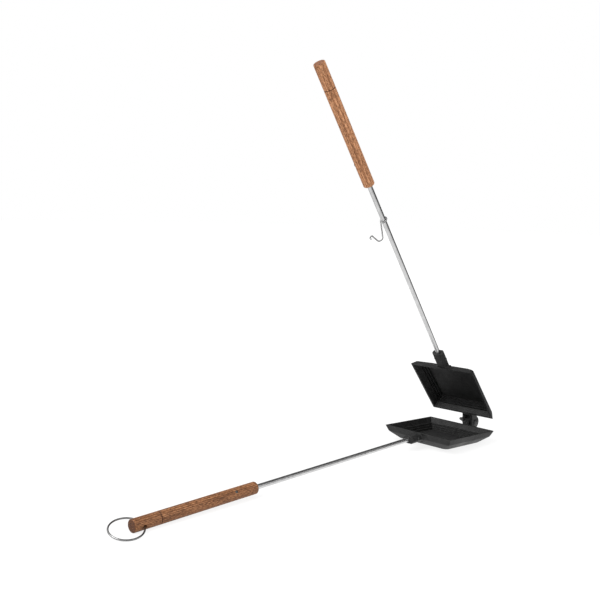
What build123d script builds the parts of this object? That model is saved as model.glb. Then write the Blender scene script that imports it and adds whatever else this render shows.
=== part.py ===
from build123d import *
import math
import os

# A square two-pan pie iron, in millimetres.
# Each half is built in its own frame: X towards the hinge, Z out of the cavity, and
# the parting plane at Z = 0. The upper half is the same frame turned over and swung
# open about the hinge.

# Cast pans
rim_half_width = 59.0
rim_land = 3.2
rim_corner_radius = 1.2
knee_inset = 3.4
knee_depth = 8.8
knee_corner_radius = 3.0
base_inset = 15.5
base_corner_radius = 7.0
pan_depth = 19.0
band_inset = 3.3
band_depth = 7.8
step_count = 3
step_tread = 2.8
step_rise = 2.8
mouth_overrun = 1.0

# How the upper rim drops into the lower pan
nest_depth = 1.5
nest_clearance = 1.7
parting_clearance = 0.6

# Hinge: one lug on the lower pan between two ears on the upper pan, and their rivet
hinge_reach = 18.5
hinge_rise = 2.0
hinge_offset = -4.5
hinge_lean = 3.5
hinge_yaw = 1.6
ear_radius = 10.0
lug_thickness = 8.2
ear_thickness = 4.6
ear_gap = 0.3
web_root_inset = 10.0
lug_root_depth = 13.5
ear_root_depth = 9.0
web_shoulder = 0.8
web_rim_clearance = 1.3
rivet_diameter = 6.0
rivet_running_clearance = 0.08
rivet_side_clearance = 0.3
button_head_diameter = 10.5
button_head_height = 2.6
steeple_base_diameter = 10.0
steeple_tip_diameter = 3.6
steeple_height = 10.5

# Sockets that hold the rods
socket_width = 18.5
socket_height = 11.4
socket_chamfer = 3.6
socket_reach = 19.0
socket_root = 12.0
socket_bore_depth = 20.0
socket_pin_setback = 13.0
socket_pin_diameter = 3.0
socket_pin_head_diameter = 4.6
socket_pin_head_height = 0.7

# Rods
rod_diameter = 6.35
rod_drop = 8.3
rod_splay = 3.8
rod_exposed_length = 301.0

# Wooden handles
handle_diameter = 15.1
handle_length = 175.0
handle_edge_radius = 1.5
handle_bore_depth = 45.0
groove_setback = 34.0
groove_width = 1.2
groove_depth = 0.5
handle_pin_setback = 34.0
handle_pin_turn = 37.0
handle_pin_diameter = 1.8
handle_pin_head_diameter = 3.6
handle_pin_head_height = 0.6
handle_pin_beyond_rod = 1.5

# Hanging ring in the lower handle
ring_hole_setback = 12.4
ring_hole_turn = -14.0
ring_hole_diameter = 4.6
ring_wire_diameter = 2.1
ring_radius = 19.2
ring_floor_clearance = 0.05
swing_tolerance = 0.001

# Latch hook on the upper rod
hook_distance = 245.0
hook_lean = 20.5
hook_wire_diameter = 1.9
hook_running_clearance = 0.1
eye_sweep = 300.0
leg_heading = -119.5
leg_length = 27.9
bend_radius = 4.2
arm_heading = 29.5
arm_length = 13.0
curl_radius = 1.9
tip_heading = -142.0
tip_length = 3.0

# How the parts stand: the halves part-open, with the lower handle's end and the
# lower pan's edge on the floor
opening_angle = 46.0

hinge_x = rim_half_width + hinge_reach
socket_end_x = -(rim_half_width + socket_reach)
mouth_half_width = rim_half_width - rim_land
nest_taper = nest_depth * band_inset / band_depth
upper_rim_half_width = mouth_half_width - nest_taper - nest_clearance
base_half_width = rim_half_width - base_inset

hinge_place = Pos(hinge_x, hinge_offset, hinge_rise) * Rot(hinge_lean, 0, hinge_yaw)
rod_frame = Plane(
    origin=(socket_end_x, 0, -rod_drop),
    x_dir=(0, 1, 0),
    z_dir=(-math.cos(math.radians(rod_splay)), 0, -math.sin(math.radians(rod_splay))),
)


def along_rod(distance):
    """A point on the rod's axis, measured outwards from the socket's end."""
    return rod_frame.from_local_coords(Vector(0, 0, distance))


def rod_piece(diameter, start, end):
    """A cylinder on the rod's axis between two distances from the socket's end."""
    cylinder = Cylinder(diameter / 2, end - start, align=(Align.CENTER, Align.CENTER, Align.MIN))
    return rod_frame.location * Pos(0, 0, start) * cylinder


def cross_piece(diameter, distance, start, end, turn=0.0):
    """A cylinder across the rod's axis, turned about it, from start to end along itself."""
    cylinder = Cylinder(diameter / 2, end - start, align=(Align.CENTER, Align.CENTER, Align.MIN))
    aim = Rot(0, 0, turn) * Rot(0, -90, 0)
    return rod_frame.location * Pos(0, 0, distance) * aim * Pos(0, 0, start) * cylinder


def hinge_cylinder(diameter, start, end):
    """A cylinder on the hinge axis, from start to end along Y from the lug's middle."""
    cylinder = Cylinder(diameter / 2, end - start, align=(Align.CENTER, Align.CENTER, Align.MIN))
    return hinge_place * Pos(0, start, 0) * Rot(-90, 0, 0) * cylinder


def square_at(half_width, corner_radius, height):
    """A square with rounded corners, level at the given height."""
    square = RectangleRounded(2 * half_width, 2 * half_width, corner_radius)
    return (Pos(0, 0, height) * square).face()


def sharp_square_at(half_width, height):
    """A square with sharp corners, level at the given height."""
    return (Pos(0, 0, height) * Rectangle(2 * half_width, 2 * half_width)).face()


def pan_outside(rim_half, rim_height):
    """The solid outer form: steep from the rim to the knee, then sloping to the base."""
    rim = square_at(rim_half, rim_corner_radius, rim_height)
    knee = square_at(rim_half - knee_inset, knee_corner_radius, rim_height - knee_depth)
    base = square_at(rim_half - base_inset, base_corner_radius, rim_height - pan_depth)
    return loft([rim, knee, base], ruled=True)


def pan_cavity(rim_half, rim_height):
    """The hollow: a plain sloping band below the rim, then square steps down to the floor."""
    slope = band_inset / band_depth
    mouth = sharp_square_at(rim_half - rim_land + mouth_overrun * slope, rim_height + mouth_overrun)
    band_foot_half = rim_half - rim_land - band_inset
    foot = sharp_square_at(band_foot_half, rim_height - band_depth)
    cavity = loft([mouth, foot], ruled=True)
    for step in range(step_count):
        half = band_foot_half - (step + 1) * step_tread
        floor = rim_height - band_depth - (step + 1) * step_rise
        rise = Box(2 * half, 2 * half, 2 * step_rise, align=(Align.CENTER, Align.CENTER, Align.MIN))
        cavity += Pos(0, 0, floor) * rise
    return cavity


def tangent_point(start_x, start_z, side):
    """Where a line from a point touches the round end, above (1) or below (-1) the hinge."""
    distance = math.hypot(start_x, start_z)
    heading = math.atan2(-start_z, -start_x) + side * math.asin(ear_radius / distance)
    length = math.sqrt(distance**2 - ear_radius**2)
    return (start_x + length * math.cos(heading), start_z + length * math.sin(heading))


def hinge_plate(root_x, root_z, side, start, thickness):
    """A plate square to the hinge axis: a round end and its web, on one side of the parting."""
    shoulder_x = rim_half_width + web_shoulder - hinge_x
    shoulder_z = -side * web_rim_clearance - hinge_rise
    root_x -= hinge_x
    root_z -= hinge_rise
    corners = [
        (root_x, root_z),
        tangent_point(root_x, root_z, -side),
        (0, 0),
        tangent_point(shoulder_x, shoulder_z, side),
        (shoulder_x, shoulder_z),
        (root_x, shoulder_z),
    ]
    outline = Polygon(*corners[::side], align=None) + Circle(ear_radius)
    return hinge_place * extrude(Plane.XZ.offset(-start) * outline, amount=-thickness)


def hinge_lug():
    """The lower pan's single lug, its web running into the wall."""
    root_x = rim_half_width - web_root_inset
    return hinge_plate(root_x, -lug_root_depth, 1, -lug_thickness / 2, lug_thickness)


def hinge_ears():
    """The upper pan's two ears, one each side of the lug, given as the iron is closed."""
    root_x = upper_rim_half_width - web_root_inset
    root_z = ear_root_depth - nest_depth
    gap = lug_thickness / 2 + ear_gap
    near_ear = hinge_plate(root_x, root_z, -1, -gap - ear_thickness, ear_thickness)
    return near_ear + hinge_plate(root_x, root_z, -1, gap, ear_thickness)


def rod_socket():
    """The eight-sided block that grips the rod, cut level below the parting plane."""
    section = chamfer(Rectangle(socket_width, socket_height).vertices(), socket_chamfer)
    block = rod_frame.location * extrude(section, amount=-(socket_reach + socket_root))
    trim = Box(
        2 * socket_reach + 2 * socket_root,
        2 * socket_width,
        socket_height,
        align=(Align.CENTER, Align.CENTER, Align.MIN),
    )
    return block - Pos(socket_end_x, 0, -parting_clearance) * trim


def pan(rim_half, rim_height, hinge_part, rivet_hole):
    """One casting: the square pan, its part of the hinge and its rod socket."""
    body = pan_outside(rim_half, rim_height)
    body += rod_socket()
    body += hinge_part
    body -= pan_cavity(rim_half, rim_height)
    body -= rod_piece(rod_diameter, -socket_bore_depth, socket_reach)
    body -= cross_piece(socket_pin_diameter, -socket_pin_setback, -socket_width, socket_width)
    body -= rivet_hole
    return body


def lower_pan():
    """The lower casting, whose lug holds the rivet tight."""
    rivet_hole = hinge_cylinder(rivet_diameter, -lug_thickness, lug_thickness)
    return pan(rim_half_width, 0.0, hinge_lug(), rivet_hole)


def upper_pan():
    """The upper casting, whose ears turn on the rivet."""
    reach = lug_thickness + ear_thickness
    rivet_hole = hinge_cylinder(rivet_diameter + 2 * rivet_running_clearance, -reach, reach)
    turned_over = Rot(180, 0, 0)
    return pan(upper_rim_half_width, nest_depth, turned_over * hinge_ears(), turned_over * rivet_hole)


def hinge_rivet():
    """The rivet through the lug and both ears, with a button head and a steeple."""
    side_face = lug_thickness / 2 + ear_gap + ear_thickness + rivet_side_clearance
    shank = hinge_cylinder(rivet_diameter, -side_face, side_face)
    dome_radius = (button_head_diameter**2 / 4 + button_head_height**2) / (2 * button_head_height)
    head_end = -side_face - button_head_height
    ball = hinge_place * Pos(0, head_end + dome_radius, 0) * Sphere(dome_radius)
    button = ball & hinge_cylinder(button_head_diameter, head_end, -side_face)
    cone = Cone(
        steeple_base_diameter / 2,
        steeple_tip_diameter / 2,
        steeple_height,
        align=(Align.CENTER, Align.CENTER, Align.MIN),
    )
    steeple = hinge_place * Pos(0, side_face, 0) * Rot(-90, 0, 0) * cone
    return shank + button + steeple


def rod():
    """The straight steel rod, from the bottom of its socket into the handle."""
    bar = rod_piece(rod_diameter, -socket_bore_depth, rod_exposed_length + handle_bore_depth)
    bar -= cross_piece(socket_pin_diameter, -socket_pin_setback, -rod_diameter, rod_diameter)
    pin_place = rod_exposed_length + handle_pin_setback
    bar -= cross_piece(handle_pin_diameter, pin_place, -rod_diameter, rod_diameter, handle_pin_turn)
    return bar


def socket_pin():
    """The pin across a socket, with a low round head at each end."""
    reach = socket_width / 2
    pin = cross_piece(socket_pin_diameter, -socket_pin_setback, -reach, reach)
    for start in (-reach - socket_pin_head_height, reach):
        end = start + socket_pin_head_height
        pin += cross_piece(socket_pin_head_diameter, -socket_pin_setback, start, end)
    return pin


def handle():
    """The round wooden grip, with its blind bore, turned groove and pin hole."""
    end = rod_exposed_length + handle_length
    grip = rod_piece(handle_diameter, rod_exposed_length, end)
    grip = fillet(grip.edges().filter_by(GeomType.CIRCLE), handle_edge_radius)
    grip -= rod_piece(rod_diameter, rod_exposed_length, rod_exposed_length + handle_bore_depth)
    groove_end = end - groove_setback
    groove = rod_piece(2 * handle_diameter, groove_end - groove_width, groove_end)
    groove -= rod_piece(handle_diameter - 2 * groove_depth, groove_end - groove_width, groove_end)
    grip -= groove
    pin_place = rod_exposed_length + handle_pin_setback
    pin_foot = -rod_diameter / 2 - handle_pin_beyond_rod
    grip -= cross_piece(handle_pin_diameter, pin_place, pin_foot, handle_diameter, handle_pin_turn)
    return grip


def handle_pin():
    """The brad that crosses the handle and the rod, its head standing on the wood."""
    pin_place = rod_exposed_length + handle_pin_setback
    pin_foot = -rod_diameter / 2 - handle_pin_beyond_rod
    seat = handle_diameter / 2
    pin = cross_piece(handle_pin_diameter, pin_place, pin_foot, seat, handle_pin_turn)
    head_start = seat - handle_pin_head_height
    head_end = seat + handle_pin_head_height
    head = cross_piece(handle_pin_head_diameter, pin_place, head_start, head_end, handle_pin_turn)
    wood = rod_piece(handle_diameter, rod_exposed_length, rod_exposed_length + handle_length)
    return pin + (head - wood)


def ring_hole():
    """The hole across the lower handle for the hanging ring."""
    distance = rod_exposed_length + handle_length - ring_hole_setback
    return cross_piece(
        ring_hole_diameter, distance, -handle_diameter, handle_diameter, ring_hole_turn
    )


def bent_wire(place, heading, moves):
    """A flat path of straight runs, each a length, and bends, each a radius and a turn."""
    pieces = []
    for move in moves:
        if len(move) == 1:
            reached = place + Vector(move[0], 0).rotate(Axis.Z, heading)
            pieces.append(Line(place, reached))
            place = reached
        else:
            radius, turn = move
            side = math.copysign(1, turn)
            spoke = Vector(0, -side * radius).rotate(Axis.Z, heading)
            centre = place - spoke
            pieces.append(CenterArc(centre, radius, heading - side * 90, turn))
            heading += turn
            place = centre + spoke.rotate(Axis.Z, turn)
    return Wire(pieces)


def latch_hook():
    """One bent wire: an eye round the upper rod, a leg, a round bend, an arm and a curled tip."""
    seat_radius = (rod_diameter + hook_wire_diameter) / 2 + hook_running_clearance
    eye_radius = seat_radius / math.cos(math.radians(hook_lean))
    start_heading = leg_heading + eye_sweep
    start = Vector(0, eye_radius).rotate(Axis.Z, start_heading)
    moves = [
        (eye_radius, -eye_sweep),
        (leg_length,),
        (bend_radius, arm_heading - leg_heading),
        (arm_length,),
        (curl_radius, tip_heading - arm_heading),
        (tip_length,),
    ]
    path = bent_wire(start, start_heading, moves)
    section = Plane(origin=path @ 0, z_dir=path % 0) * Circle(hook_wire_diameter / 2)
    wire = sweep(section, path=path)
    aim = Rot(hook_lean, 0, 0) * Rot(0, 180, 0)
    return rod_frame.location * Pos(0, 0, hook_distance) * aim * wire


def standing_tilt():
    """How far the lower half leans so that its handle's end and its base's edge both rest."""
    rounding = along_rod(rod_exposed_length + handle_length - handle_edge_radius)
    side = handle_diameter / 2 - handle_edge_radius
    down = Vector(0, side, 0)
    low = rounding + rod_frame.from_local_coords(down) - rod_frame.origin
    run = base_half_width - low.X
    fall = -(low.Z + pan_depth)
    return math.degrees(math.atan2(fall, run) + math.asin(handle_edge_radius / math.hypot(run, fall)))


lower_place = Rot(0, standing_tilt(), 0) * Pos(0, 0, pan_depth)
opening = hinge_place * Rot(0, opening_angle, 0) * hinge_place.inverse()
upper_place = lower_place * opening * Rot(180, 0, 0)
floor_height = -base_half_width * math.sin(math.radians(standing_tilt()))


def ring_hole_place():
    """The middle of the ring's hole as the iron stands, with the hole along its X."""
    distance = rod_exposed_length + handle_length - ring_hole_setback
    return lower_place * rod_frame.location * Pos(0, 0, distance) * Rot(0, 0, ring_hole_turn)


def ring_place(swing):
    """The ring's middle, with its axis along Z, for a swing down from the grip's line."""
    half_grip = handle_diameter / 2
    bow = (ring_radius - math.sqrt(ring_radius**2 - half_grip**2)) / 2
    return ring_hole_place() * Rot(-swing, 0, 0) * Pos(0, 0, ring_radius - bow) * Rot(90, 0, 0)


def ring_height(swing):
    """How high the ring's lowest point is above the floor for a swing."""
    place = ring_place(swing)
    axis = (place * Pos(0, 0, 1)).position - place.position
    sink = ring_radius * math.sqrt(1 - axis.Z**2) + ring_wire_diameter / 2
    return place.position.Z - sink - floor_height


def resting_swing():
    """The swing at which the ring lies on the floor, found by halving."""
    high = 0.0
    low = 90.0
    while low - high > swing_tolerance:
        middle = (low + high) / 2
        if ring_height(middle) > ring_floor_clearance:
            high = middle
        else:
            low = middle
    return high


def hanging_ring():
    """The wire ring in its hole, its far side down on the floor."""
    return ring_place(resting_swing()) * Torus(ring_radius, ring_wire_diameter / 2)


lower_pieces = {
    "lower_pan": lower_pan(),
    "hinge_rivet": hinge_rivet(),
    "lower_rod": rod(),
    "lower_socket_pin": socket_pin(),
    "lower_handle": handle() - ring_hole(),
    "lower_handle_pin": handle_pin(),
}
upper_pieces = {
    "upper_pan": upper_pan(),
    "upper_rod": rod(),
    "upper_socket_pin": socket_pin(),
    "upper_handle": handle(),
    "upper_handle_pin": handle_pin(),
    "latch_hook": latch_hook(),
}
nodes = {name: lower_place * piece for name, piece in lower_pieces.items()}
nodes.update({name: upper_place * piece for name, piece in upper_pieces.items()})
nodes["hanging_ring"] = hanging_ring()

os.makedirs("parts", exist_ok=True)
for name, piece in nodes.items():
    export_step(piece, f"parts/{name}.step")
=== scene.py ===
import math

import bpy
import numpy as np
from mathutils import Matrix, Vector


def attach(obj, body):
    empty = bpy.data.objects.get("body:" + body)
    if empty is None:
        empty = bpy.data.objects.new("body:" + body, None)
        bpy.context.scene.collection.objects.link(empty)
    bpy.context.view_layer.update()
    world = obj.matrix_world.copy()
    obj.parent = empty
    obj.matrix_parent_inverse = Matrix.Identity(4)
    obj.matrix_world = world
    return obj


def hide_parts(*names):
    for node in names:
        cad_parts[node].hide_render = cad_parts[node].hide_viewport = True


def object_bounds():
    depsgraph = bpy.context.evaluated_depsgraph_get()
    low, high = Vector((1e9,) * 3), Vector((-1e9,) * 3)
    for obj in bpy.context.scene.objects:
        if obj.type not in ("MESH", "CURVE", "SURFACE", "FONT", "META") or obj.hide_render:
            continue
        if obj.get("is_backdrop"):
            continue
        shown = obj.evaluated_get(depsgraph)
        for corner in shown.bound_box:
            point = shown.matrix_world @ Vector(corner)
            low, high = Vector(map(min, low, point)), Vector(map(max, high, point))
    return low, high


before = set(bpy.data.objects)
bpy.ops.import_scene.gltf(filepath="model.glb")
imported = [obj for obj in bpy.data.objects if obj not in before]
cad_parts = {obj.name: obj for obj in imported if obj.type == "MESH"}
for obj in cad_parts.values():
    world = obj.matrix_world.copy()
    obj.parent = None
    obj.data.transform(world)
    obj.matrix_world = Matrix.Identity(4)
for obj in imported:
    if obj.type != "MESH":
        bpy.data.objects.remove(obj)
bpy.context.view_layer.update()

# Shapes are worked out in millimetres, each in a plain frame of its own: a 4 x 4 matrix
# carries it to where it stands, and MILLIMETRE makes it metres.
MILLIMETRE = 0.001
ROUND_STEPS = 64
SHARP_ANGLE = math.radians(38)
CUTTER_REACH = 20.0

# How it lies: on the lower pan and the end of the lower grip, with the upper half swung open
REST_TILT = 2.7237
OPENING = 46.0

# Pans, in each half's own frame: X towards the hinge, Z out of the hollow, rim near Z = 0
LOWER_RIM_HALF = 59.0
UPPER_RIM_HALF = 53.465
PAN_DEPTH = 19.0
NEST_DEPTH = 1.5
RIM_LAND = 3.2
KNEE_INSET = 3.4
KNEE_DEPTH = 8.8
BASE_INSET = 15.5
BAND_INSET = 3.3
BAND_DEPTH = 7.8
STEP_COUNT = 3
STEP_TREAD = 2.8
STEP_RISE = 2.8
PARTING_CLEARANCE = 0.6
UNEVEN_DEPTH = 0.07
UNEVEN_BEYOND = 30

# Rods, sockets and grips, measured along the rod from the socket's outer end, which stands
# at SOCKET_END_X in the half's own frame
SOCKET_END_X = -78.0
ROD_DROP = 8.3
ROD_SPLAY = 3.8
ROD_RADIUS = 3.175
ROD_CHAMFER = 0.5
ROD_CLEARANCE = 0.06
ROD_EXPOSED = 301.0
SOCKET_WIDTH = 18.5
SOCKET_HEIGHT = 11.4
SOCKET_CHAMFER = 3.6
SOCKET_EDGE = 0.5
SOCKET_FLARE = 2.6
SOCKET_NOSE = 0.6
SOCKET_SEAT = 1.5
SOCKET_BORE_DEPTH = 20.0
SOCKET_PIN_SETBACK = 13.0
SOCKET_PIN_RADIUS = 1.5
SOCKET_PIN_CLEARANCE = 0.04
SOCKET_PIN_HEAD_RADIUS = 2.3
SOCKET_PIN_HEAD_HEIGHT = 0.7
GRIP_RADIUS = 7.55
GRIP_LENGTH = 175.0
GRIP_END = ROD_EXPOSED + GRIP_LENGTH
GRIP_EDGE = 1.5
GRIP_BORE_DEPTH = 45.0
GRIP_BORE_CLEARANCE = 0.03
GROOVE_SETBACK = 34.0
GROOVE_WIDTH = 1.2
GROOVE_DEPTH = 0.5
BRAD_SETBACK = 34.0
BRAD_TURN = 37.0
BRAD_RADIUS = 0.9
BRAD_HEAD_RADIUS = 1.8
BRAD_PAST_ROD = 1.5
BRAD_FOOT = -ROD_RADIUS - BRAD_PAST_ROD
RING_HOLE_SETBACK = 12.4
RING_HOLE_TURN = -14.0
RING_HOLE_RADIUS = 2.3

# Hinge: where its axis crosses the lower half, and how far that axis is off square. The
# corners of a plate are its root's top, its root's bottom and its shoulder, from the rivet.
HINGE_CENTRE = (77.5, -4.5, 2.0)
HINGE_ROLL = 3.5
HINGE_YAW = 1.6
LUG_CORNERS = ((-19.9, -3.3), (-28.3, -15.5), (-17.7, -3.3))
LUG_THICKNESS = 8.2
EAR_CORNERS = ((-26.3, -0.7), (-30.7, 5.5), (-17.7, -0.7))
EAR_THICKNESS = 4.6
EAR_GAP = 0.3
EAR_CLEARANCE = 0.08
PLATE_RADIUS = 10.0
PLATE_EDGE = 0.9
RIVET_RADIUS = 3.0
RIVET_PLAY = 0.3
RIVET_SIDE = LUG_THICKNESS / 2 + EAR_GAP + EAR_THICKNESS + RIVET_PLAY
RIVET_HEAD_RADIUS = 5.25
RIVET_HEAD_HEIGHT = 2.6
RIVET_STEEPLE_RADIUS = 5.0
RIVET_STEEPLE_HEIGHT = 10.5
RIVET_STEEPLE_TIP = 1.8

# Hook and ring. A bend is its radius and its turn in degrees.
HOOK_DISTANCE = 245.0
HOOK_LEAN = 20.5
HOOK_WIRE_RADIUS = 0.95
HOOK_CLEARANCE = 0.1
HOOK_EYE_TURN = 300.0
HOOK_LEG_HEADING = -119.5
HOOK_LEG = 27.9
HOOK_BEND = (4.2, 149.0)
HOOK_ARM = 13.0
HOOK_CURL = (1.9, -171.5)
HOOK_TIP = 3.0
HOOK_WIRE_END = 0.8
RING_RADIUS = 19.2
RING_WIRE_RADIUS = 1.05
RING_SWING = 4.3073
RING_STEPS = 120


# ---------------------------------------------------------------- frames

def shift(x, y, z):
    """A 4 x 4 matrix that moves by x, y, z."""
    moved = np.eye(4)
    moved[:3, 3] = (x, y, z)
    return moved


def turn(axis, degrees):
    """A 4 x 4 rotation: cosines on the two turning axes, plus and minus the sine across them."""
    first, second = {"X": (1, 2), "Y": (2, 0), "Z": (0, 1)}[axis]
    cosine, sine = math.cos(math.radians(degrees)), math.sin(math.radians(degrees))
    turned = np.eye(4)
    turned[first, first] = turned[second, second] = cosine
    turned[first, second], turned[second, first] = -sine, sine
    return turned


def carried(points, place):
    """Points through a 4 x 4 matrix: rotation times the point, plus the shift."""
    return points @ place[:3, :3].T + place[:3, 3]


lower_place = turn("Y", REST_TILT) @ shift(0, 0, PAN_DEPTH)
hinge_place = shift(*HINGE_CENTRE) @ turn("X", HINGE_ROLL) @ turn("Z", HINGE_YAW)
lug_place = lower_place @ hinge_place
ear_place = lug_place @ turn("Y", OPENING)
upper_place = ear_place @ np.linalg.inv(hinge_place) @ turn("X", 180)

splay_cosine = math.cos(math.radians(ROD_SPLAY))
splay_sine = math.sin(math.radians(ROD_SPLAY))
rod_frame = np.array([
    [0.0, splay_sine, -splay_cosine, SOCKET_END_X],
    [1.0, 0.0, 0.0, 0.0],
    [0.0, -splay_cosine, -splay_sine, -ROD_DROP],
    [0.0, 0.0, 0.0, 1.0],
])
lower_rod = lower_place @ rod_frame
upper_rod = upper_place @ rod_frame


def across(rod_place, distance, about=0.0):
    """The frame of a cross hole: Z runs across the rod, turned about it."""
    return rod_place @ shift(0, 0, distance) @ turn("Z", about) @ turn("Y", -90)


def along_hinge(place):
    """The frame of a turned piece or a hole on the hinge axis: Z runs along that axis."""
    return place @ turn("X", -90)


# ---------------------------------------------------------------- surfaces

def softened(corners, easings, steps, closed=False):
    """A polyline with each corner eased: the arc A(1-t)^2 + 2Bt(1-t) + Ct^2, where B is the
    corner and A and C lie one easing length before and after it, with one guard point more
    on each side so that a wide flat stays flat in the shading."""
    corners = np.asarray(corners, float)
    before = np.roll(corners, 1, axis=0) - corners
    after = np.roll(corners, -1, axis=0) - corners
    before /= np.linalg.norm(before, axis=1, keepdims=True)
    after /= np.linalg.norm(after, axis=1, keepdims=True)
    reach = np.asarray(easings, float)[:, None, None]
    t = np.linspace(0, 1, steps + 1)[None, :, None]
    b = corners[:, None]
    a, c = b + before[:, None] * reach, b + after[:, None] * reach
    arc = a * (1 - t) ** 2 + 2 * b * t * (1 - t) + c * t**2
    guard = 0.3
    guard_in, guard_out = a + before[:, None] * reach * guard, c + after[:, None] * reach * guard
    rows = np.concatenate([guard_in, arc, guard_out], axis=1)
    if closed:
        return rows.reshape(-1, corners.shape[1])
    return np.concatenate([corners[:1], rows[1:-1].reshape(-1, corners.shape[1]), corners[-1:]])


def filled_in(profile, longest):
    """A profile with long runs divided evenly, so that no run is longer than the given one."""
    lengths = np.linalg.norm(np.diff(profile, axis=0), axis=1)
    counts = np.maximum(np.ceil(lengths / longest).astype(int), 1)
    run = np.repeat(np.arange(len(counts)), counts)
    first = np.repeat(np.cumsum(counts) - counts, counts)
    part = ((np.arange(counts.sum()) - first) / counts[run])[:, None]
    inner = profile[run] * (1 - part) + profile[run + 1] * part
    return np.concatenate([inner, profile[-1:]])


def revolved(profile, steps=ROUND_STEPS):
    """Rings (rows, steps, 3) about Z: x = r cos a, y = r sin a, z = z for each (r, z)."""
    profile = np.asarray(profile, float)
    angle = np.arange(steps) * 2 * math.pi / steps
    x = profile[:, :1] * np.cos(angle)
    y = profile[:, :1] * np.sin(angle)
    z = np.repeat(profile[:, 1:2], steps, axis=1)
    return np.stack([x, y, z], axis=2)


def squared(halves, corner_radii, heights, side_steps=26, corner_steps=6):
    """Rings of rounded squares: in each quarter an arc of the corner radius about
    (half - radius, half - radius), then even points along the straight side to the next."""
    halves = np.asarray(halves, float)[:, None]
    radii = np.minimum(np.asarray(corner_radii, float)[:, None], halves * 0.999)
    sweep = np.linspace(0, math.pi / 2, corner_steps + 1)[None]
    x = halves - radii + radii * np.cos(sweep)
    y = halves - radii + radii * np.sin(sweep)
    arc = np.stack([x, y], axis=2)
    quarters = np.stack([arc, arc[..., ::-1] * (-1, 1), -arc, arc[..., ::-1] * (1, -1)], axis=1)
    quarters[:, 1] = np.stack([-y, x], axis=2)
    quarters[:, 3] = np.stack([y, -x], axis=2)
    start, end = quarters[:, :, -1:], np.roll(quarters, -1, axis=1)[:, :, :1]
    t = (np.arange(1, side_steps) / side_steps)[None, None, :, None]
    sides = start * (1 - t) + end * t
    flat = np.concatenate([quarters, sides], axis=2).reshape(len(halves), -1, 2)
    z = np.repeat(np.asarray(heights, float)[:, None, None], flat.shape[1], axis=1)
    return np.concatenate([flat, z], axis=2)


def swept(path, tangents, upright, radii, steps=14):
    """A round wire along a flat path: each ring is path + r (side cos a + upright sin a),
    where side is the tangent crossed with the plane's upright."""
    angle = np.arange(steps) * 2 * math.pi / steps
    side = np.cross(tangents, upright)
    circle = side[:, None] * np.cos(angle)[None, :, None] + upright * np.sin(angle)[None, :, None]
    return path[:, None] + circle * np.asarray(radii, float)[:, None, None]


def plate(outline, thickness, edge, steps=4):
    """Rings of a flat plate with eased edges: the outline moved inwards along its own normals
    by edge (1 - sin a) while it runs edge (1 - cos a) in from each face."""
    ahead = np.roll(outline, -1, axis=0) - np.roll(outline, 1, axis=0)
    normal = np.stack([-ahead[:, 1], ahead[:, 0]], axis=1)
    normal /= np.linalg.norm(normal, axis=1, keepdims=True)
    if signed_area(outline) < 0:
        normal = -normal
    angle = np.linspace(0, math.pi / 2, steps + 1)
    inset = edge * (1 - np.sin(angle))
    depth = edge * (1 - np.cos(angle))
    inset = np.concatenate([inset, inset[::-1]])
    depth = np.concatenate([depth, (thickness - depth)[::-1]]) - thickness / 2
    flat = outline[None] + normal[None] * inset[:, None, None]
    y = np.repeat(depth[:, None], len(outline), axis=1)
    return np.stack([flat[..., 0], y, flat[..., 1]], axis=2)


def signed_area(outline):
    """Half the sum of x1 y2 - x2 y1 round a flat outline: positive when it runs anticlockwise."""
    x, y = outline[:, 0], outline[:, 1]
    return 0.5 * np.sum(x * np.roll(y, -1) - np.roll(x, -1) * y)


# ---------------------------------------------------------------- meshes

def built(name, rings, place, closed_rows=False):
    """An object from rings (rows, columns, 3): four-sided faces between neighbours, flat caps at
    the first and last ring unless the rows close on themselves, turned to face outwards."""
    rows, columns = rings.shape[:2]
    points = carried(rings.reshape(-1, 3), place) * MILLIMETRE
    index = np.arange(rows * columns).reshape(rows, columns)
    along = np.roll(index, -1, axis=0) if closed_rows else index[1:]
    near = index if closed_rows else index[:-1]
    quads = np.stack([near, np.roll(near, -1, axis=1), np.roll(along, -1, axis=1), along], axis=2)
    quads = quads.reshape(-1, 4)
    centred = points - points.mean(axis=0)
    a, b, c, d = (centred[quads[:, corner]] for corner in range(4))
    volume = np.sum(a * np.cross(b, c)) + np.sum(a * np.cross(c, d))
    caps = [] if closed_rows else [index[0, ::-1], index[-1]]
    if volume < 0:
        quads = quads[:, ::-1]
        caps = [cap[::-1] for cap in caps]
    faces = quads.tolist() + [cap.tolist() for cap in caps]
    mesh = bpy.data.meshes.new(name)
    mesh.from_pydata(points.tolist(), [], faces)
    piece = bpy.data.objects.new(name, mesh)
    bpy.context.scene.collection.objects.link(piece)
    return piece


def combined(piece, others, operation):
    """The piece joined with, or cut by, other closed shapes, which are then used up."""
    for other in others:
        step = piece.modifiers.new(operation.lower(), "BOOLEAN")
        step.operation = operation
        step.solver = "MANIFOLD"
        step.object = other
    seen = piece.evaluated_get(bpy.context.evaluated_depsgraph_get())
    mesh = bpy.data.meshes.new_from_object(seen)
    piece.modifiers.clear()
    worn_out = piece.data
    piece.data = mesh
    bpy.data.meshes.remove(worn_out)
    for other in others:
        used = other.data
        bpy.data.objects.remove(other)
        bpy.data.meshes.remove(used)
    return piece


def dowel(radius, start, end, place):
    """A plain cutter along Z from start to end."""
    return built("cutter", revolved([(radius, start), (radius, end)], steps=48), place)


def finished(piece, body, node, material):
    """Smooth shading with true edges kept, a finish, and the piece's place in the assembly."""
    piece.data.materials.clear()
    piece.data.materials.append(material)
    piece.data.shade_smooth()
    piece.data.set_sharp_from_angle(angle=SHARP_ANGLE)
    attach(piece, body)
    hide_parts(node)
    return piece


# ---------------------------------------------------------------- the cast halves

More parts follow.
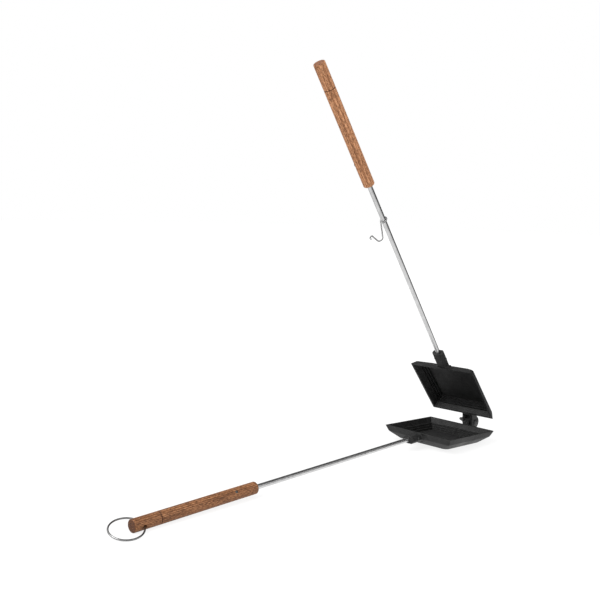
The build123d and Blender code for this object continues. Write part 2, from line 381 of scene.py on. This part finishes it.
def bowl(name, rim_half, rim_height, place):
    """The pan: one profile of half-width against height, from the middle of the base outside,
    up the two outer slopes, over the rim, down the band and the square steps to the middle of
    the floor, carried round a square whose corner radius changes with it."""
    foot = rim_half - RIM_LAND - BAND_INSET
    # half-width, height, corner radius seen from above, easing
    corners = [
        (0.4, -PAN_DEPTH, 0.2, 0.1),
        (rim_half - BASE_INSET, -PAN_DEPTH, 7.0, 1.1),
        (rim_half - KNEE_INSET, -KNEE_DEPTH, 3.0, 1.2),
        (rim_half, 0.0, 1.2, 0.45),
        (rim_half - RIM_LAND, 0.0, 0.9, 0.45),
        (foot, -BAND_DEPTH, 0.8, 0.35),
    ]
    for step in range(STEP_COUNT):
        edge = foot - (step + 1) * STEP_TREAD
        depth = BAND_DEPTH + step * STEP_RISE
        corners.append((edge, -depth, 0.7, 0.4))
        corners.append((edge, -depth - STEP_RISE, 0.7, 0.35))
    corners.append((0.4, corners[-1][1], 0.2, 0.1))
    corners = np.array(corners)
    profile = filled_in(softened(corners[:, :3], corners[:, 3], steps=3), longest=5.0)
    rings = squared(profile[:, 0], profile[:, 2], profile[:, 1] + rim_height)
    return built(name, uneven(rings), place)


def uneven(rings):
    """Cast faces are never dead flat: each point further out than UNEVEN_BEYOND is drawn
    towards the middle of the pan by UNEVEN_DEPTH times half of 2 + sin + sin of slow waves
    across it, so nothing stands proud."""
    x, y, z = rings[..., 0], rings[..., 1], rings[..., 2]
    waves = 2 + np.sin(0.21 * x + 0.13 * y + 0.3 * z) + np.sin(0.09 * x - 0.27 * y + 1.7)
    size = np.maximum(np.maximum(np.abs(x), np.abs(y)), 1.0)
    drawn = 1 - UNEVEN_DEPTH * waves / 2 / size * (size > UNEVEN_BEYOND)
    return np.stack([x * drawn, y * drawn, z], axis=2)


def socket(rim_half, rim_height, place, rod_place):
    """The eight-sided block round the rod: its outline eased, its outer end rounded by
    R (1 - cos a), and flared into the wall by R (1 - sqrt(1 - (1 - d / R)^2)) at distance d
    from it. Its inner end follows the two slopes of the wall and stays inside the metal: the
    distance along the rod is (end + half-width + y sin a) / cos a at each point's own depth."""
    side, top = SOCKET_WIDTH / 2, SOCKET_HEIGHT / 2
    flat_x, flat_y = side - SOCKET_CHAMFER, top - SOCKET_CHAMFER
    octagon = [
        (side, flat_y), (flat_x, top), (-flat_x, top), (-side, flat_y),
        (-side, -flat_y), (-flat_x, -top), (flat_x, -top), (side, -flat_y),
    ]
    outline = softened(octagon, [SOCKET_EDGE] * len(octagon), steps=3, closed=True)
    outward = outline / np.linalg.norm(outline, axis=1, keepdims=True)
    slope_depths = (0.0, KNEE_DEPTH, PAN_DEPTH)
    slope_halves = (rim_half, rim_half - KNEE_INSET, rim_half - BASE_INSET)
    wall = np.full(len(outline), -25.0)  # a first guess, which three rounds settle
    for _ in range(3):
        depth = rim_height + ROD_DROP + outline[:, 1] * splay_cosine + wall * splay_sine
        wall_half = np.interp(depth, slope_depths, slope_halves)
        wall = (SOCKET_END_X + wall_half + outline[:, 1] * splay_sine) / splay_cosine
    flare, nose = SOCKET_FLARE, SOCKET_NOSE
    angle = np.linspace(0, math.pi / 2, 6)
    away = np.concatenate([[-SOCKET_SEAT, 0.0], flare * (1 - np.cos(angle))[1:]])
    grow = flare * (1 - np.sqrt(np.clip(1 - (1 - np.clip(away, 0, flare) / flare) ** 2, 0, 1)))
    start = outline[None] + outward[None] * grow[:, None, None]
    start_z = wall[None] + away[:, None]
    shrink = nose * (1 - np.cos(angle))[:, None, None]
    end = outline[None] - outward[None] * shrink
    end_z = np.repeat((-nose * (1 - np.sin(angle)))[:, None], len(outline), axis=1)
    flat = np.concatenate([start, end])
    z = np.concatenate([start_z, end_z])
    rings = np.concatenate([flat, z[..., None]], axis=2)
    local = carried(rings, np.linalg.inv(place) @ rod_place)
    local[..., 2] = np.minimum(local[..., 2], -PARTING_CLEARANCE)
    return built("block", local, place)


def hinge_outline(root_top, root_bottom, shoulder, side):
    """The plate's outline about the rivet: down the sloping root in the wall, out along the
    tangent to the round end, round it, and back along the other tangent to the shoulder. The
    side is 1 for the lug, and -1 for the ears, whose half lies the other way up."""
    def touch(start, hand):
        """The bearing, from the rivet, at which the tangent from a corner meets the round end."""
        distance = math.hypot(*start)
        heading = math.atan2(-start[1], -start[0]) + hand * math.asin(PLATE_RADIUS / distance)
        length = math.sqrt(distance**2 - PLATE_RADIUS**2)
        x = start[0] + length * math.cos(heading)
        y = start[1] + length * math.sin(heading)
        return math.atan2(y, x)

    first, last = touch(root_bottom, -side), touch(shoulder, side)
    if side * (last - first) < 0:
        last += side * 2 * math.pi
    sweep = np.linspace(first, last, 40)
    arc = PLATE_RADIUS * np.stack([np.cos(sweep), np.sin(sweep)], axis=1)
    corners = [shoulder, root_top, root_bottom]
    return filled_in(np.concatenate([corners, arc, [shoulder]]), longest=3.0)[:-1]


def hinge_plate(name, outline, middle, thickness, place):
    """One plate of the hinge, its middle at the given place along the hinge axis."""
    return built(name, plate(outline, thickness, PLATE_EDGE), place @ shift(0, middle, 0))


def casting(half, rim_half, rim_height, place, rod_place, plates, rivet_hole, material):
    """One cast half: the pan joined with its socket and its hinge plates, then bored for the
    rod, the rod's cross pin and the rivet."""
    pan = bowl(half + "_pan_casting", rim_half, rim_height, place)
    block = socket(rim_half, rim_height, place, rod_place)
    combined(pan, [block] + plates, "UNION")
    bore = dowel(ROD_RADIUS + ROD_CLEARANCE, -SOCKET_BORE_DEPTH, CUTTER_REACH, rod_place)
    pin_hole = dowel(
        SOCKET_PIN_RADIUS + SOCKET_PIN_CLEARANCE, -CUTTER_REACH, CUTTER_REACH,
        across(rod_place, -SOCKET_PIN_SETBACK),
    )
    combined(pan, [bore, pin_hole, rivet_hole], "DIFFERENCE")
    return finished(pan, half + "_half", half + "_pan", material)


def lower_casting(material):
    """The lower pan with its socket and its single hinge lug."""
    outline = hinge_outline(*LUG_CORNERS, side=1)
    lug = hinge_plate("lug", outline, 0.0, LUG_THICKNESS, lug_place)
    rivet_hole = dowel(RIVET_RADIUS, -CUTTER_REACH, CUTTER_REACH, along_hinge(lug_place))
    return casting(
        "lower", LOWER_RIM_HALF, 0.0, lower_place, lower_rod, [lug], rivet_hole, material
    )


def upper_casting(material):
    """The upper pan with its socket and its two hinge ears, a little free on the rivet."""
    outline = hinge_outline(*EAR_CORNERS, side=-1)
    middle = (LUG_THICKNESS + EAR_THICKNESS) / 2 + EAR_GAP
    ears = [
        hinge_plate("ear", outline, side * middle, EAR_THICKNESS, ear_place) for side in (-1, 1)
    ]
    rivet_hole = dowel(
        RIVET_RADIUS + EAR_CLEARANCE, -CUTTER_REACH, CUTTER_REACH, along_hinge(ear_place)
    )
    return casting(
        "upper", UPPER_RIM_HALF, NEST_DEPTH, upper_place, upper_rod, ears, rivet_hole, material
    )


# ---------------------------------------------------------------- steel and wood

def rivet(material):
    """A turned shape about the hinge axis: domed button head, shank and blunt steeple."""
    side, point, foot = RIVET_SIDE, RIVET_SIDE + RIVET_STEEPLE_HEIGHT, RIVET_STEEPLE_RADIUS
    bulge = np.linspace(0, 1, 8)[1:]
    dome_radius = RIVET_HEAD_RADIUS * np.sin(bulge * math.pi / 2)
    dome_height = -side - RIVET_HEAD_HEIGHT * np.cos(bulge * math.pi / 2)
    dome = np.stack([dome_radius, dome_height], axis=1)
    crown = [(0.3, -side - RIVET_HEAD_HEIGHT)]
    under_head = [(RIVET_HEAD_RADIUS, -side), (RIVET_RADIUS, -side)]
    steeple = softened(
        [(0.3, point), (RIVET_STEEPLE_TIP, point), (foot, side), (RIVET_RADIUS, side)],
        [0.1, 0.7, 0.35, 0.1], steps=3,
    )[::-1]
    profile = np.concatenate([crown, dome, under_head, steeple])
    piece = built("hinge_rivet_turned", revolved(profile, steps=40), along_hinge(lug_place))
    return finished(piece, "lower_half", "hinge_rivet", material)


def rod(half, place, material):
    """A drawn bar from the bottom of its socket into the grip, both ends chamfered."""
    start, end = -SOCKET_BORE_DEPTH, ROD_EXPOSED + GRIP_BORE_DEPTH
    profile = np.array([
        (ROD_RADIUS - ROD_CHAMFER, start),
        (ROD_RADIUS, start + ROD_CHAMFER),
        (ROD_RADIUS, end - ROD_CHAMFER),
        (ROD_RADIUS - ROD_CHAMFER, end),
    ])
    rings = revolved(filled_in(profile, longest=20.0), steps=40)
    piece = built(half + "_rod_bar", rings, place)
    return finished(piece, half + "_half", half + "_rod", material)


def socket_pin(half, place, material):
    """A turned pin with a low rounded head at each end."""
    seat, top = SOCKET_WIDTH / 2, SOCKET_WIDTH / 2 + SOCKET_PIN_HEAD_HEIGHT
    rim = SOCKET_PIN_HEAD_RADIUS
    head = softened(
        [(0.3, top), (rim, top), (rim, seat), (SOCKET_PIN_RADIUS, seat)],
        [0.1, 0.5, 0.1, 0.1], steps=4,
    )
    rings = revolved(np.concatenate([head * (1, -1), head[::-1]]), steps=32)
    piece = built(half + "_socket_pin_turned", rings, across(place, -SOCKET_PIN_SETBACK))
    return finished(piece, half + "_half", half + "_socket_pin", material)


def brad_place(place):
    """The frame of the brad and its hole: Z runs across the grip, out through its side."""
    return across(place, ROD_EXPOSED + BRAD_SETBACK, BRAD_TURN)


def grip(half, place, material):
    """A turned grip: up the blind bore, out over the front face, along the side past a
    burnt groove, and in over the end. A hole for the brad, and one right through the lower
    grip for the ring."""
    front, bore = ROD_EXPOSED, ROD_RADIUS + GRIP_BORE_CLEARANCE
    groove = GRIP_END - GROOVE_SETBACK
    # radius, distance along the rod, easing
    corners = np.array([
        (0.4, front + GRIP_BORE_DEPTH, 0.1),
        (bore, front + GRIP_BORE_DEPTH, 0.2),
        (bore, front, 0.25),
        (GRIP_RADIUS, front, GRIP_EDGE),
        (GRIP_RADIUS, groove - GROOVE_WIDTH, 0.15),
        (GRIP_RADIUS - GROOVE_DEPTH, groove - GROOVE_WIDTH * 0.7, 0.15),
        (GRIP_RADIUS - GROOVE_DEPTH, groove - GROOVE_WIDTH * 0.3, 0.15),
        (GRIP_RADIUS, groove, 0.15),
        (GRIP_RADIUS, GRIP_END, GRIP_EDGE),
        (0.4, GRIP_END, 0.1),
    ])
    profile = filled_in(softened(corners[:, :2], corners[:, 2], steps=6), longest=6.0)
    piece = built(half + "_grip_turned", revolved(profile), place)
    holes = [dowel(BRAD_RADIUS, BRAD_FOOT, CUTTER_REACH, brad_place(place))]
    if half == "lower":
        ring_hole = across(place, GRIP_END - RING_HOLE_SETBACK, RING_HOLE_TURN)
        holes.append(dowel(RING_HOLE_RADIUS, -CUTTER_REACH, CUTTER_REACH, ring_hole))
    combined(piece, holes, "DIFFERENCE")
    return finished(piece, half + "_half", half + "_handle", material)


def brad(half, place, material):
    """A small nail across the grip and the rod, its low domed head on the wood."""
    seat = GRIP_RADIUS
    # radius, distance out from the rod's axis, easing
    corners = np.array([
        (0.2, BRAD_FOOT, 0.1),
        (BRAD_RADIUS, BRAD_FOOT + 1.2, 0.1),
        (BRAD_RADIUS, seat - 0.25, 0.1),
        (BRAD_HEAD_RADIUS, seat - 0.25, 0.05),
        (BRAD_HEAD_RADIUS, seat + 0.2, 0.15),
        (0.2, seat + 0.6, 0.1),
    ])
    profile = softened(corners[:, :2], corners[:, 2], steps=4)
    piece = built(half + "_grip_brad", revolved(profile, steps=28), brad_place(place))
    return finished(piece, half + "_half", half + "_handle_pin", material)


def pointing(angle):
    """The flat unit vector (cos, sin) of an angle in radians."""
    return np.array([math.cos(angle), math.sin(angle)])


def bent(spot, heading, moves, run_step=1.5, bend_step=7):
    """Points and headings along a flat wire. A straight run (length,) goes start + length
    (cos h, sin h); a bend (radius, degrees) goes centre + radius (cos, sin) of the angle
    swept. The steps are millimetres along a run and degrees round a bend."""
    places, headings = [], []
    for move in moves:
        if len(move) == 1:
            steps = max(int(move[0] / run_step), 2)
            t = np.linspace(0, 1, steps, endpoint=False)[:, None]
            ahead = pointing(math.radians(heading))
            places.append(spot + ahead * move[0] * t)
            headings.append(np.full(steps, heading))
            spot = spot + ahead * move[0]
        else:
            radius, bend = move
            side = math.copysign(1, bend)
            spoke = math.radians(heading - side * 90)
            centre = spot - radius * pointing(spoke)
            t = np.linspace(0, 1, int(abs(bend) / bend_step), endpoint=False)
            angle = spoke + t * math.radians(bend)
            places.append(centre + radius * np.stack([np.cos(angle), np.sin(angle)], axis=1))
            headings.append(heading + t * bend)
            heading += bend
            spot = centre + radius * pointing(spoke + math.radians(bend))
    flat = np.concatenate(places + [spot[None]])
    return flat, np.concatenate(headings + [[heading]])


def hook(material):
    """One wire bent flat: an eye round the rod, a leg, a round bend, an arm and a curled tip,
    with both ends of the wire eased."""
    eye = (ROD_RADIUS + HOOK_WIRE_RADIUS + HOOK_CLEARANCE) / math.cos(math.radians(HOOK_LEAN))
    heading = HOOK_LEG_HEADING + HOOK_EYE_TURN
    start = eye * pointing(math.radians(heading + 90))
    moves = [(eye, -HOOK_EYE_TURN), (HOOK_LEG,), HOOK_BEND, (HOOK_ARM,), HOOK_CURL, (HOOK_TIP,)]
    flat, headings = bent(start, heading, moves)
    angles = np.radians(headings)
    path = np.concatenate([flat, np.zeros((len(flat), 1))], axis=1)
    tangents = np.stack([np.cos(angles), np.sin(angles), np.zeros(len(angles))], axis=1)
    radii = np.full(len(path), HOOK_WIRE_RADIUS)
    radii[[0, -1]] *= HOOK_WIRE_END
    rings = swept(path, tangents, np.array([0.0, 0.0, 1.0]), radii)
    place = upper_rod @ shift(0, 0, HOOK_DISTANCE) @ turn("X", HOOK_LEAN) @ turn("Y", 180)
    piece = built("latch_hook_wire", rings, place)
    return finished(piece, "hook", "latch_hook", material)


def ring(material):
    """A round wire carried round a circle: ((R + r cos b) cos a, (R + r cos b) sin a, r sin b)."""
    around = np.arange(RING_STEPS) * 2 * math.pi / RING_STEPS
    level = np.zeros(RING_STEPS)
    path = RING_RADIUS * np.stack([np.cos(around), np.sin(around), level], axis=1)
    tangents = np.stack([-np.sin(around), np.cos(around), level], axis=1)
    radii = np.full(RING_STEPS, RING_WIRE_RADIUS)
    rings = swept(path, tangents, np.array([0.0, 0.0, 1.0]), radii)
    bow = (RING_RADIUS - math.sqrt(RING_RADIUS**2 - GRIP_RADIUS**2)) / 2
    place = (
        lower_rod @ shift(0, 0, GRIP_END - RING_HOLE_SETBACK) @ turn("Z", RING_HOLE_TURN)
        @ turn("X", -RING_SWING) @ shift(0, 0, RING_RADIUS - bow) @ turn("X", 90)
    )
    piece = built("hanging_ring_wire", rings, place, closed_rows=True)
    return finished(piece, "ring", "hanging_ring", material)


# ---------------------------------------------------------------- material building

class Finish:
    """A node material under construction: makes nodes, links them, and ends in one shader.
    With a place, its pattern is laid along that piece's own axes."""

    def __init__(self, name, place=None):
        self.material = bpy.data.materials.new(name)
        self.material.use_nodes = True
        self.tree = self.material.node_tree
        self.tree.nodes.clear()
        output = self.tree.nodes.new("ShaderNodeOutputMaterial")
        self.shader = self.tree.nodes.new("ShaderNodeBsdfPrincipled")
        self.link(self.shader, "BSDF", output, "Surface")
        coords = self.tree.nodes.new("ShaderNodeTexCoord")
        self.where = self.node("ShaderNodeMapping", vector_type="TEXTURE")
        self.where.inputs["Scale"].default_value = (MILLIMETRE,) * 3
        if place is not None:
            self.where.inputs["Location"].default_value = place[:3, 3] * MILLIMETRE
            self.where.inputs["Rotation"].default_value = Matrix(place[:3, :3].tolist()).to_euler()
        self.link(coords, "Object", self.where, "Vector")

    def link(self, source, out, target, into):
        self.tree.links.new(source.outputs[out], target.inputs[into])

    def node(self, kind, **values):
        """A new node, its settings and its inputs' values given by name."""
        made = self.tree.nodes.new(kind)
        for key, value in values.items():
            if hasattr(made, key):
                setattr(made, key, value)
            else:
                made.inputs[key.replace("_", " ")].default_value = value
        return made

    def placed(self, stretch=(1.0, 1.0, 1.0), shifted=(0.0, 0.0, 0.0)):
        """The piece's own millimetres, scaled for a pattern."""
        mapping = self.node("ShaderNodeMapping", vector_type="POINT")
        mapping.inputs["Scale"].default_value = stretch
        mapping.inputs["Location"].default_value = shifted
        self.link(self.where, "Vector", mapping, "Vector")
        return mapping

    def noise(self, place, scale, detail=3.0, roughness=0.55):
        texture = self.node("ShaderNodeTexNoise", Scale=scale, Detail=detail, Roughness=roughness)
        self.link(place, "Vector", texture, "Vector")
        return texture

    def ramp(self, source, out, stops):
        """A colour ramp through (place, colour) stops."""
        made = self.node("ShaderNodeValToRGB")
        elements = made.color_ramp.elements
        while len(elements) < len(stops):
            elements.new(0.5)
        for element, (place, colour) in zip(elements, stops):
            element.position = place
            element.color = (*colour, 1.0)
        self.link(source, out, made, "Fac")
        return made

    def spread(self, source, out, low, high, from_low=0.3, from_high=0.7):
        """A value carried from one range to another, held at its ends."""
        ranged = self.node("ShaderNodeMapRange")
        ranged.inputs["From Min"].default_value = from_low
        ranged.inputs["From Max"].default_value = from_high
        ranged.inputs["To Min"].default_value = low
        ranged.inputs["To Max"].default_value = high
        self.link(source, out, ranged, "Value")
        return ranged

    def bump(self, source, out, strength, distance, under=None):
        """A fine relief, its full height in metres, over another one if that is given."""
        made = self.node("ShaderNodeBump", Strength=strength, Distance=distance)
        self.link(source, out, made, "Height")
        if under is not None:
            self.link(under, "Normal", made, "Normal")
        return made

    def blended(self, kind, factor, first, second):
        """Two colours mixed; the factor is a number or a (node, output) pair."""
        mix = self.node("ShaderNodeMix", data_type="RGBA", blend_type=kind)
        if isinstance(factor, tuple):
            self.link(*factor, mix, 0)
        else:
            mix.inputs[0].default_value = factor
        for into, colour in ((6, first), (7, second)):
            if len(colour) == 2:
                self.link(*colour, mix, into)
            else:
                mix.inputs[into].default_value = (*colour, 1.0)
        return mix


def grey(level, warmth=0.0):
    """A grey, with a share more red and less blue where it is warm."""
    return (level * (1 + warmth), level, level * (1 - warmth))


def cast_iron():
    """Bare sand-cast iron: fine grain, faint mottling, broad patches a little glossier."""
    f = Finish("cast_iron")
    place = f.placed()
    grain = f.noise(place, 1.1, detail=5.0, roughness=0.6)
    mottle = f.noise(place, 0.16, detail=4.0)
    blotch = f.noise(place, 0.035, detail=2.0)
    colour = f.ramp(mottle, "Fac", [(0.30, grey(0.009)), (0.72, grey(0.023))])
    f.link(colour, "Color", f.shader, "Base Color")
    rough = f.spread(blotch, "Fac", 0.44, 0.60)
    f.link(rough, "Result", f.shader, "Roughness")
    f.shader.inputs["Specular IOR Level"].default_value = 0.30
    coarse = f.bump(mottle, "Fac", 0.25, 0.0006)
    fine = f.bump(grain, "Fac", 0.45, 0.00022, under=coarse)
    f.link(fine, "Normal", f.shader, "Normal")
    return f.material


def plated_steel(name, level, roughness, place=None):
    """Plated bar or wire: streaks along the draw, small dull patches."""
    f = Finish(name, place)
    streak = f.noise(f.placed((1.0, 1.0, 0.02)), 3.0, detail=2.0)
    patch = f.noise(f.placed(), 0.12, detail=4.0)
    colour = f.ramp(patch, "Fac", [(0.25, grey(level * 0.85)), (0.75, grey(level * 1.08))])
    f.link(colour, "Color", f.shader, "Base Color")
    rough = f.spread(streak, "Fac", roughness - 0.05, roughness + 0.08)
    f.link(rough, "Result", f.shader, "Roughness")
    fine = f.bump(streak, "Fac", 0.15, 0.00006)
    f.link(fine, "Normal", f.shader, "Normal")
    f.shader.inputs["Metallic"].default_value = 1.0
    return f.material


def hardwood(name, place, light, dark, pith):
    """Turned open-pored hardwood as one solid pattern about the grip's own axis: growth rings
    round a pith that lies off the axis, long dark pores, slow colour changes, a darker sawn
    end and a burnt groove."""
    f = Finish(name, place)
    slow = f.noise(f.placed((1.0, 1.0, 0.12), shifted=pith), 0.20, detail=3.0)
    rings = f.node("ShaderNodeTexWave", Scale=0.19, Distortion=5.0, Detail=3.0, Detail_Scale=0.9)
    rings.wave_type = "RINGS"
    rings.rings_direction = "Z"
    f.link(f.placed((1.0, 1.0, 0.03), shifted=pith), "Vector", rings, "Vector")
    fibre = f.noise(f.placed((1.0, 1.0, 0.07)), 2.2, detail=4.0, roughness=0.65)
    fleck = f.noise(f.placed((1.0, 1.0, 0.32), shifted=pith), 0.75, detail=3.0, roughness=0.6)
    pores = f.noise(f.placed((1.0, 1.0, 0.16)), 2.4, detail=1.0, roughness=0.4)
    base = f.ramp(rings, "Fac", [(0.10, dark), (0.85, light)])
    tone = f.ramp(slow, "Fac", [(0.34, grey(0.74, 0.04)), (0.66, grey(1.16, -0.02))])
    threads = f.ramp(fibre, "Fac", [(0.36, grey(0.74, 0.05)), (0.60, grey(1.06))])
    clouds = f.ramp(fleck, "Fac", [(0.38, grey(0.50, 0.10)), (0.56, grey(1.20, 0.02))])
    specks = f.ramp(pores, "Fac", [(0.34, (0.42, 0.30, 0.22)), (0.44, (1.0, 1.0, 1.0))])
    wood = f.blended("MULTIPLY", 1.0, (base, "Color"), (tone, "Color"))
    wood = f.blended("MULTIPLY", 0.8, (wood, 2), (threads, "Color"))
    wood = f.blended("MULTIPLY", 0.9, (wood, 2), (clouds, "Color"))
    wood = f.blended("MULTIPLY", 0.9, (wood, 2), (specks, "Color"))
    apart = f.node("ShaderNodeSeparateXYZ")
    f.link(f.where, "Vector", apart, "Vector")
    end = f.spread(apart, "Z", 0.0, 1.0, GRIP_END - 0.9, GRIP_END - 0.1)
    wood = f.blended("MULTIPLY", (end, "Result"), (wood, 2), (0.42, 0.36, 0.33))
    from_groove = f.node("ShaderNodeMath", operation="SUBTRACT")
    from_groove.inputs[1].default_value = GRIP_END - GROOVE_SETBACK - GROOVE_WIDTH / 2
    f.link(apart, "Z", from_groove, 0)
    near_groove = f.node("ShaderNodeMath", operation="ABSOLUTE")
    f.link(from_groove, "Value", near_groove, 0)
    burnt = f.spread(near_groove, "Value", 1.0, 0.0, 0.35, 0.9)
    wood = f.blended("MULTIPLY", (burnt, "Result"), (wood, 2), (0.35, 0.28, 0.24))
    f.link(wood, 2, f.shader, "Base Color")
    rough = f.spread(slow, "Fac", 0.50, 0.64)
    f.link(rough, "Result", f.shader, "Roughness")
    f.shader.inputs["Specular IOR Level"].default_value = 0.35
    grooves = f.bump(fibre, "Fac", 0.25, 0.00018)
    dents = f.bump(pores, "Fac", 0.35, 0.00015, under=grooves)
    f.link(dents, "Normal", f.shader, "Normal")
    return f.material


# ---------------------------------------------------------------- the parts

iron = cast_iron()
black_steel = plated_steel("black_steel", 0.10, 0.5)
brad_steel = plated_steel("brad_steel", 0.16, 0.45)

lower_casting(iron)
upper_casting(iron)
rivet(black_steel)
for half, place, light, dark, pith in (
    ("lower", lower_rod, (0.42, 0.200, 0.092), (0.215, 0.090, 0.037), (9.0, -16.0, 3.0)),
    # The upper grip's wood colours are lighter than the lower grip's: partly its own lighter tone,
    # partly painted light that makes up for the light its downward-facing side does not get.
    ("upper", upper_rod, (0.86, 0.450, 0.240), (0.53, 0.240, 0.112), (-14.0, 12.0, 7.0)),
):
    rod(half, place, plated_steel(half + "_rod_plating", 0.72, 0.30, place))
    socket_pin(half, place, black_steel)
    grip(half, place, hardwood(half + "_handle_wood", place, light, dark, pith))
    brad(half, place, brad_steel)
hook(plated_steel("hook_wire_plating", 0.28, 0.3))
ring(plated_steel("ring_wire_plating", 0.33, 0.24))


# ---------------------------------------------------------------- stage, light and camera

# Distances in metres, and levels, where 1 is white: what falls on things, what the eye sees,
# and how dark metal mirrors the floor far away and the sky towards its dark side.
FLOOR_HALF = 20.0
FLOOR_BOUNCE = 0.60
FLOOR_SHADE = 0.20
FLOOR_GLOW = 0.85
FLOOR_WHITE_TO, FLOOR_DARK_FROM, FLOOR_DARK = 0.4, 1.1, 0.10
SKY_LIGHT = 0.60
SKY_SEEN = 1.0
SKY_DARK_SIDE = (0.74, -0.50, 0.45)
SKY_WHITE_TO, SKY_DARK_FROM, SKY_DARK = 0.05, 0.45, 0.06


def wired(tree, kind, out=0, **values):
    """A new stage node with its settings, inputs given by number as in_0, in_1; its output."""
    made = tree.nodes.new(kind)
    for key, value in values.items():
        if not key.startswith("in_"):
            setattr(made, key, value)
        elif isinstance(value, bpy.types.NodeSocket):
            tree.links.new(value, made.inputs[int(key[3:])])
        else:
            made.inputs[int(key[3:])].default_value = value
    return made.outputs[out]


def dimmed(tree, along, start, stop, dark):
    """A strength of 1 up to the start, falling evenly to the dark level at the stop."""
    return wired(
        tree, "ShaderNodeMapRange", in_0=along, in_1=start, in_2=stop, in_3=1.0, in_4=dark
    )


def by_ray(tree, falling, seen, mirrored):
    """One shader for light that falls on things, one for the eye, and one that metal mirrors."""
    rays = wired(tree, "ShaderNodeLightPath").node.outputs
    straight = wired(
        tree, "ShaderNodeMath", operation="MAXIMUM",
        in_0=rays["Is Camera Ray"], in_1=rays["Is Transmission Ray"],
    )
    first = wired(tree, "ShaderNodeMixShader", in_0=straight, in_1=falling, in_2=seen)
    return wired(tree, "ShaderNodeMixShader", in_0=rays["Is Glossy Ray"], in_1=first, in_2=mirrored)


def stage_floor():
    """A wide white floor under the object, plain to the eye but keeping a soft shadow. Metal
    mirrors it white near the object and darker far away."""
    level = min(corner[2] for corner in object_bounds())
    corners = [
        (x * FLOOR_HALF, y * FLOOR_HALF, level) for x, y in ((-1, -1), (1, -1), (1, 1), (-1, 1))
    ]
    mesh = bpy.data.meshes.new("floor")
    mesh.from_pydata(corners, [], [(0, 1, 2, 3)])
    floor = bpy.data.objects.new("floor", mesh)
    bpy.context.scene.collection.objects.link(floor)
    material = bpy.data.materials.new("floor_white")
    material.use_nodes = True
    tree = material.node_tree
    tree.nodes.clear()
    falling = wired(tree, "ShaderNodeBsdfDiffuse", in_0=(*grey(FLOOR_BOUNCE), 1.0))
    shaded = wired(tree, "ShaderNodeBsdfDiffuse", in_0=(*grey(FLOOR_SHADE), 1.0))
    glow = wired(tree, "ShaderNodeEmission", in_1=FLOOR_GLOW)
    seen = wired(tree, "ShaderNodeAddShader", in_0=glow, in_1=shaded)
    away = wired(
        tree, "ShaderNodeVectorMath", out=1, operation="LENGTH",
        in_0=wired(tree, "ShaderNodeTexCoord", out=3),
    )
    strength = dimmed(tree, away, FLOOR_WHITE_TO, FLOOR_DARK_FROM, FLOOR_DARK)
    mirrored = wired(tree, "ShaderNodeEmission", in_1=strength)
    output = tree.nodes.new("ShaderNodeOutputMaterial")
    tree.links.new(by_ray(tree, falling, seen, mirrored), output.inputs["Surface"])
    mesh.materials.append(material)
    floor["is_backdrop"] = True


def studio_world():
    """An even pale sky for the light that falls on things, white to the eye. Metal mirrors it
    white, but for one broad dark side of the room and the ceiling over it."""
    world = bpy.data.worlds.new("studio")
    world.use_nodes = True
    tree = world.node_tree
    tree.nodes.clear()
    white = (1.0, 1.0, 1.0, 1.0)
    falling = wired(tree, "ShaderNodeBackground", in_0=white, in_1=SKY_LIGHT)
    seen = wired(tree, "ShaderNodeBackground", in_0=white, in_1=SKY_SEEN)
    towards = wired(
        tree, "ShaderNodeVectorMath", out=1, operation="DOT_PRODUCT",
        in_0=wired(tree, "ShaderNodeTexCoord"), in_1=SKY_DARK_SIDE,
    )
    strength = dimmed(tree, towards, SKY_WHITE_TO, SKY_DARK_FROM, SKY_DARK)
    mirrored = wired(tree, "ShaderNodeBackground", in_0=white, in_1=strength)
    output = tree.nodes.new("ShaderNodeOutputWorld")
    tree.links.new(by_ray(tree, falling, seen, mirrored), output.inputs["Surface"])
    bpy.context.scene.world = world


def far_lamp(name, bearing, height, width, strength):
    """A broad far lamp: light comes evenly from one bearing and height, in degrees."""
    lamp = bpy.data.lights.new(name, "SUN")
    lamp.angle = math.radians(width)
    lamp.energy = strength
    far = bpy.data.objects.new(name, lamp)
    bpy.context.scene.collection.objects.link(far)
    far.rotation_euler = (0.0, math.radians(90 - height), math.radians(bearing))


stage_floor()
studio_world()
far_lamp("key", bearing=165, height=50, width=40, strength=2.1)
far_lamp("fill", bearing=-75, height=30, width=60, strength=0.7)

lens = bpy.data.cameras.new("camera")
lens.sensor_width = 36.0
lens.lens = 49.599
lens.clip_end = 100.0
camera = bpy.data.objects.new("camera", lens)
bpy.context.scene.collection.objects.link(camera)
camera.location = (-1.031647, -0.711879, 0.335133)
camera.rotation_euler = tuple(math.radians(degrees) for degrees in (84.171, -1.491, -45.252))
bpy.context.scene.camera = camera
bpy.context.scene.view_settings.view_transform = "Standard"
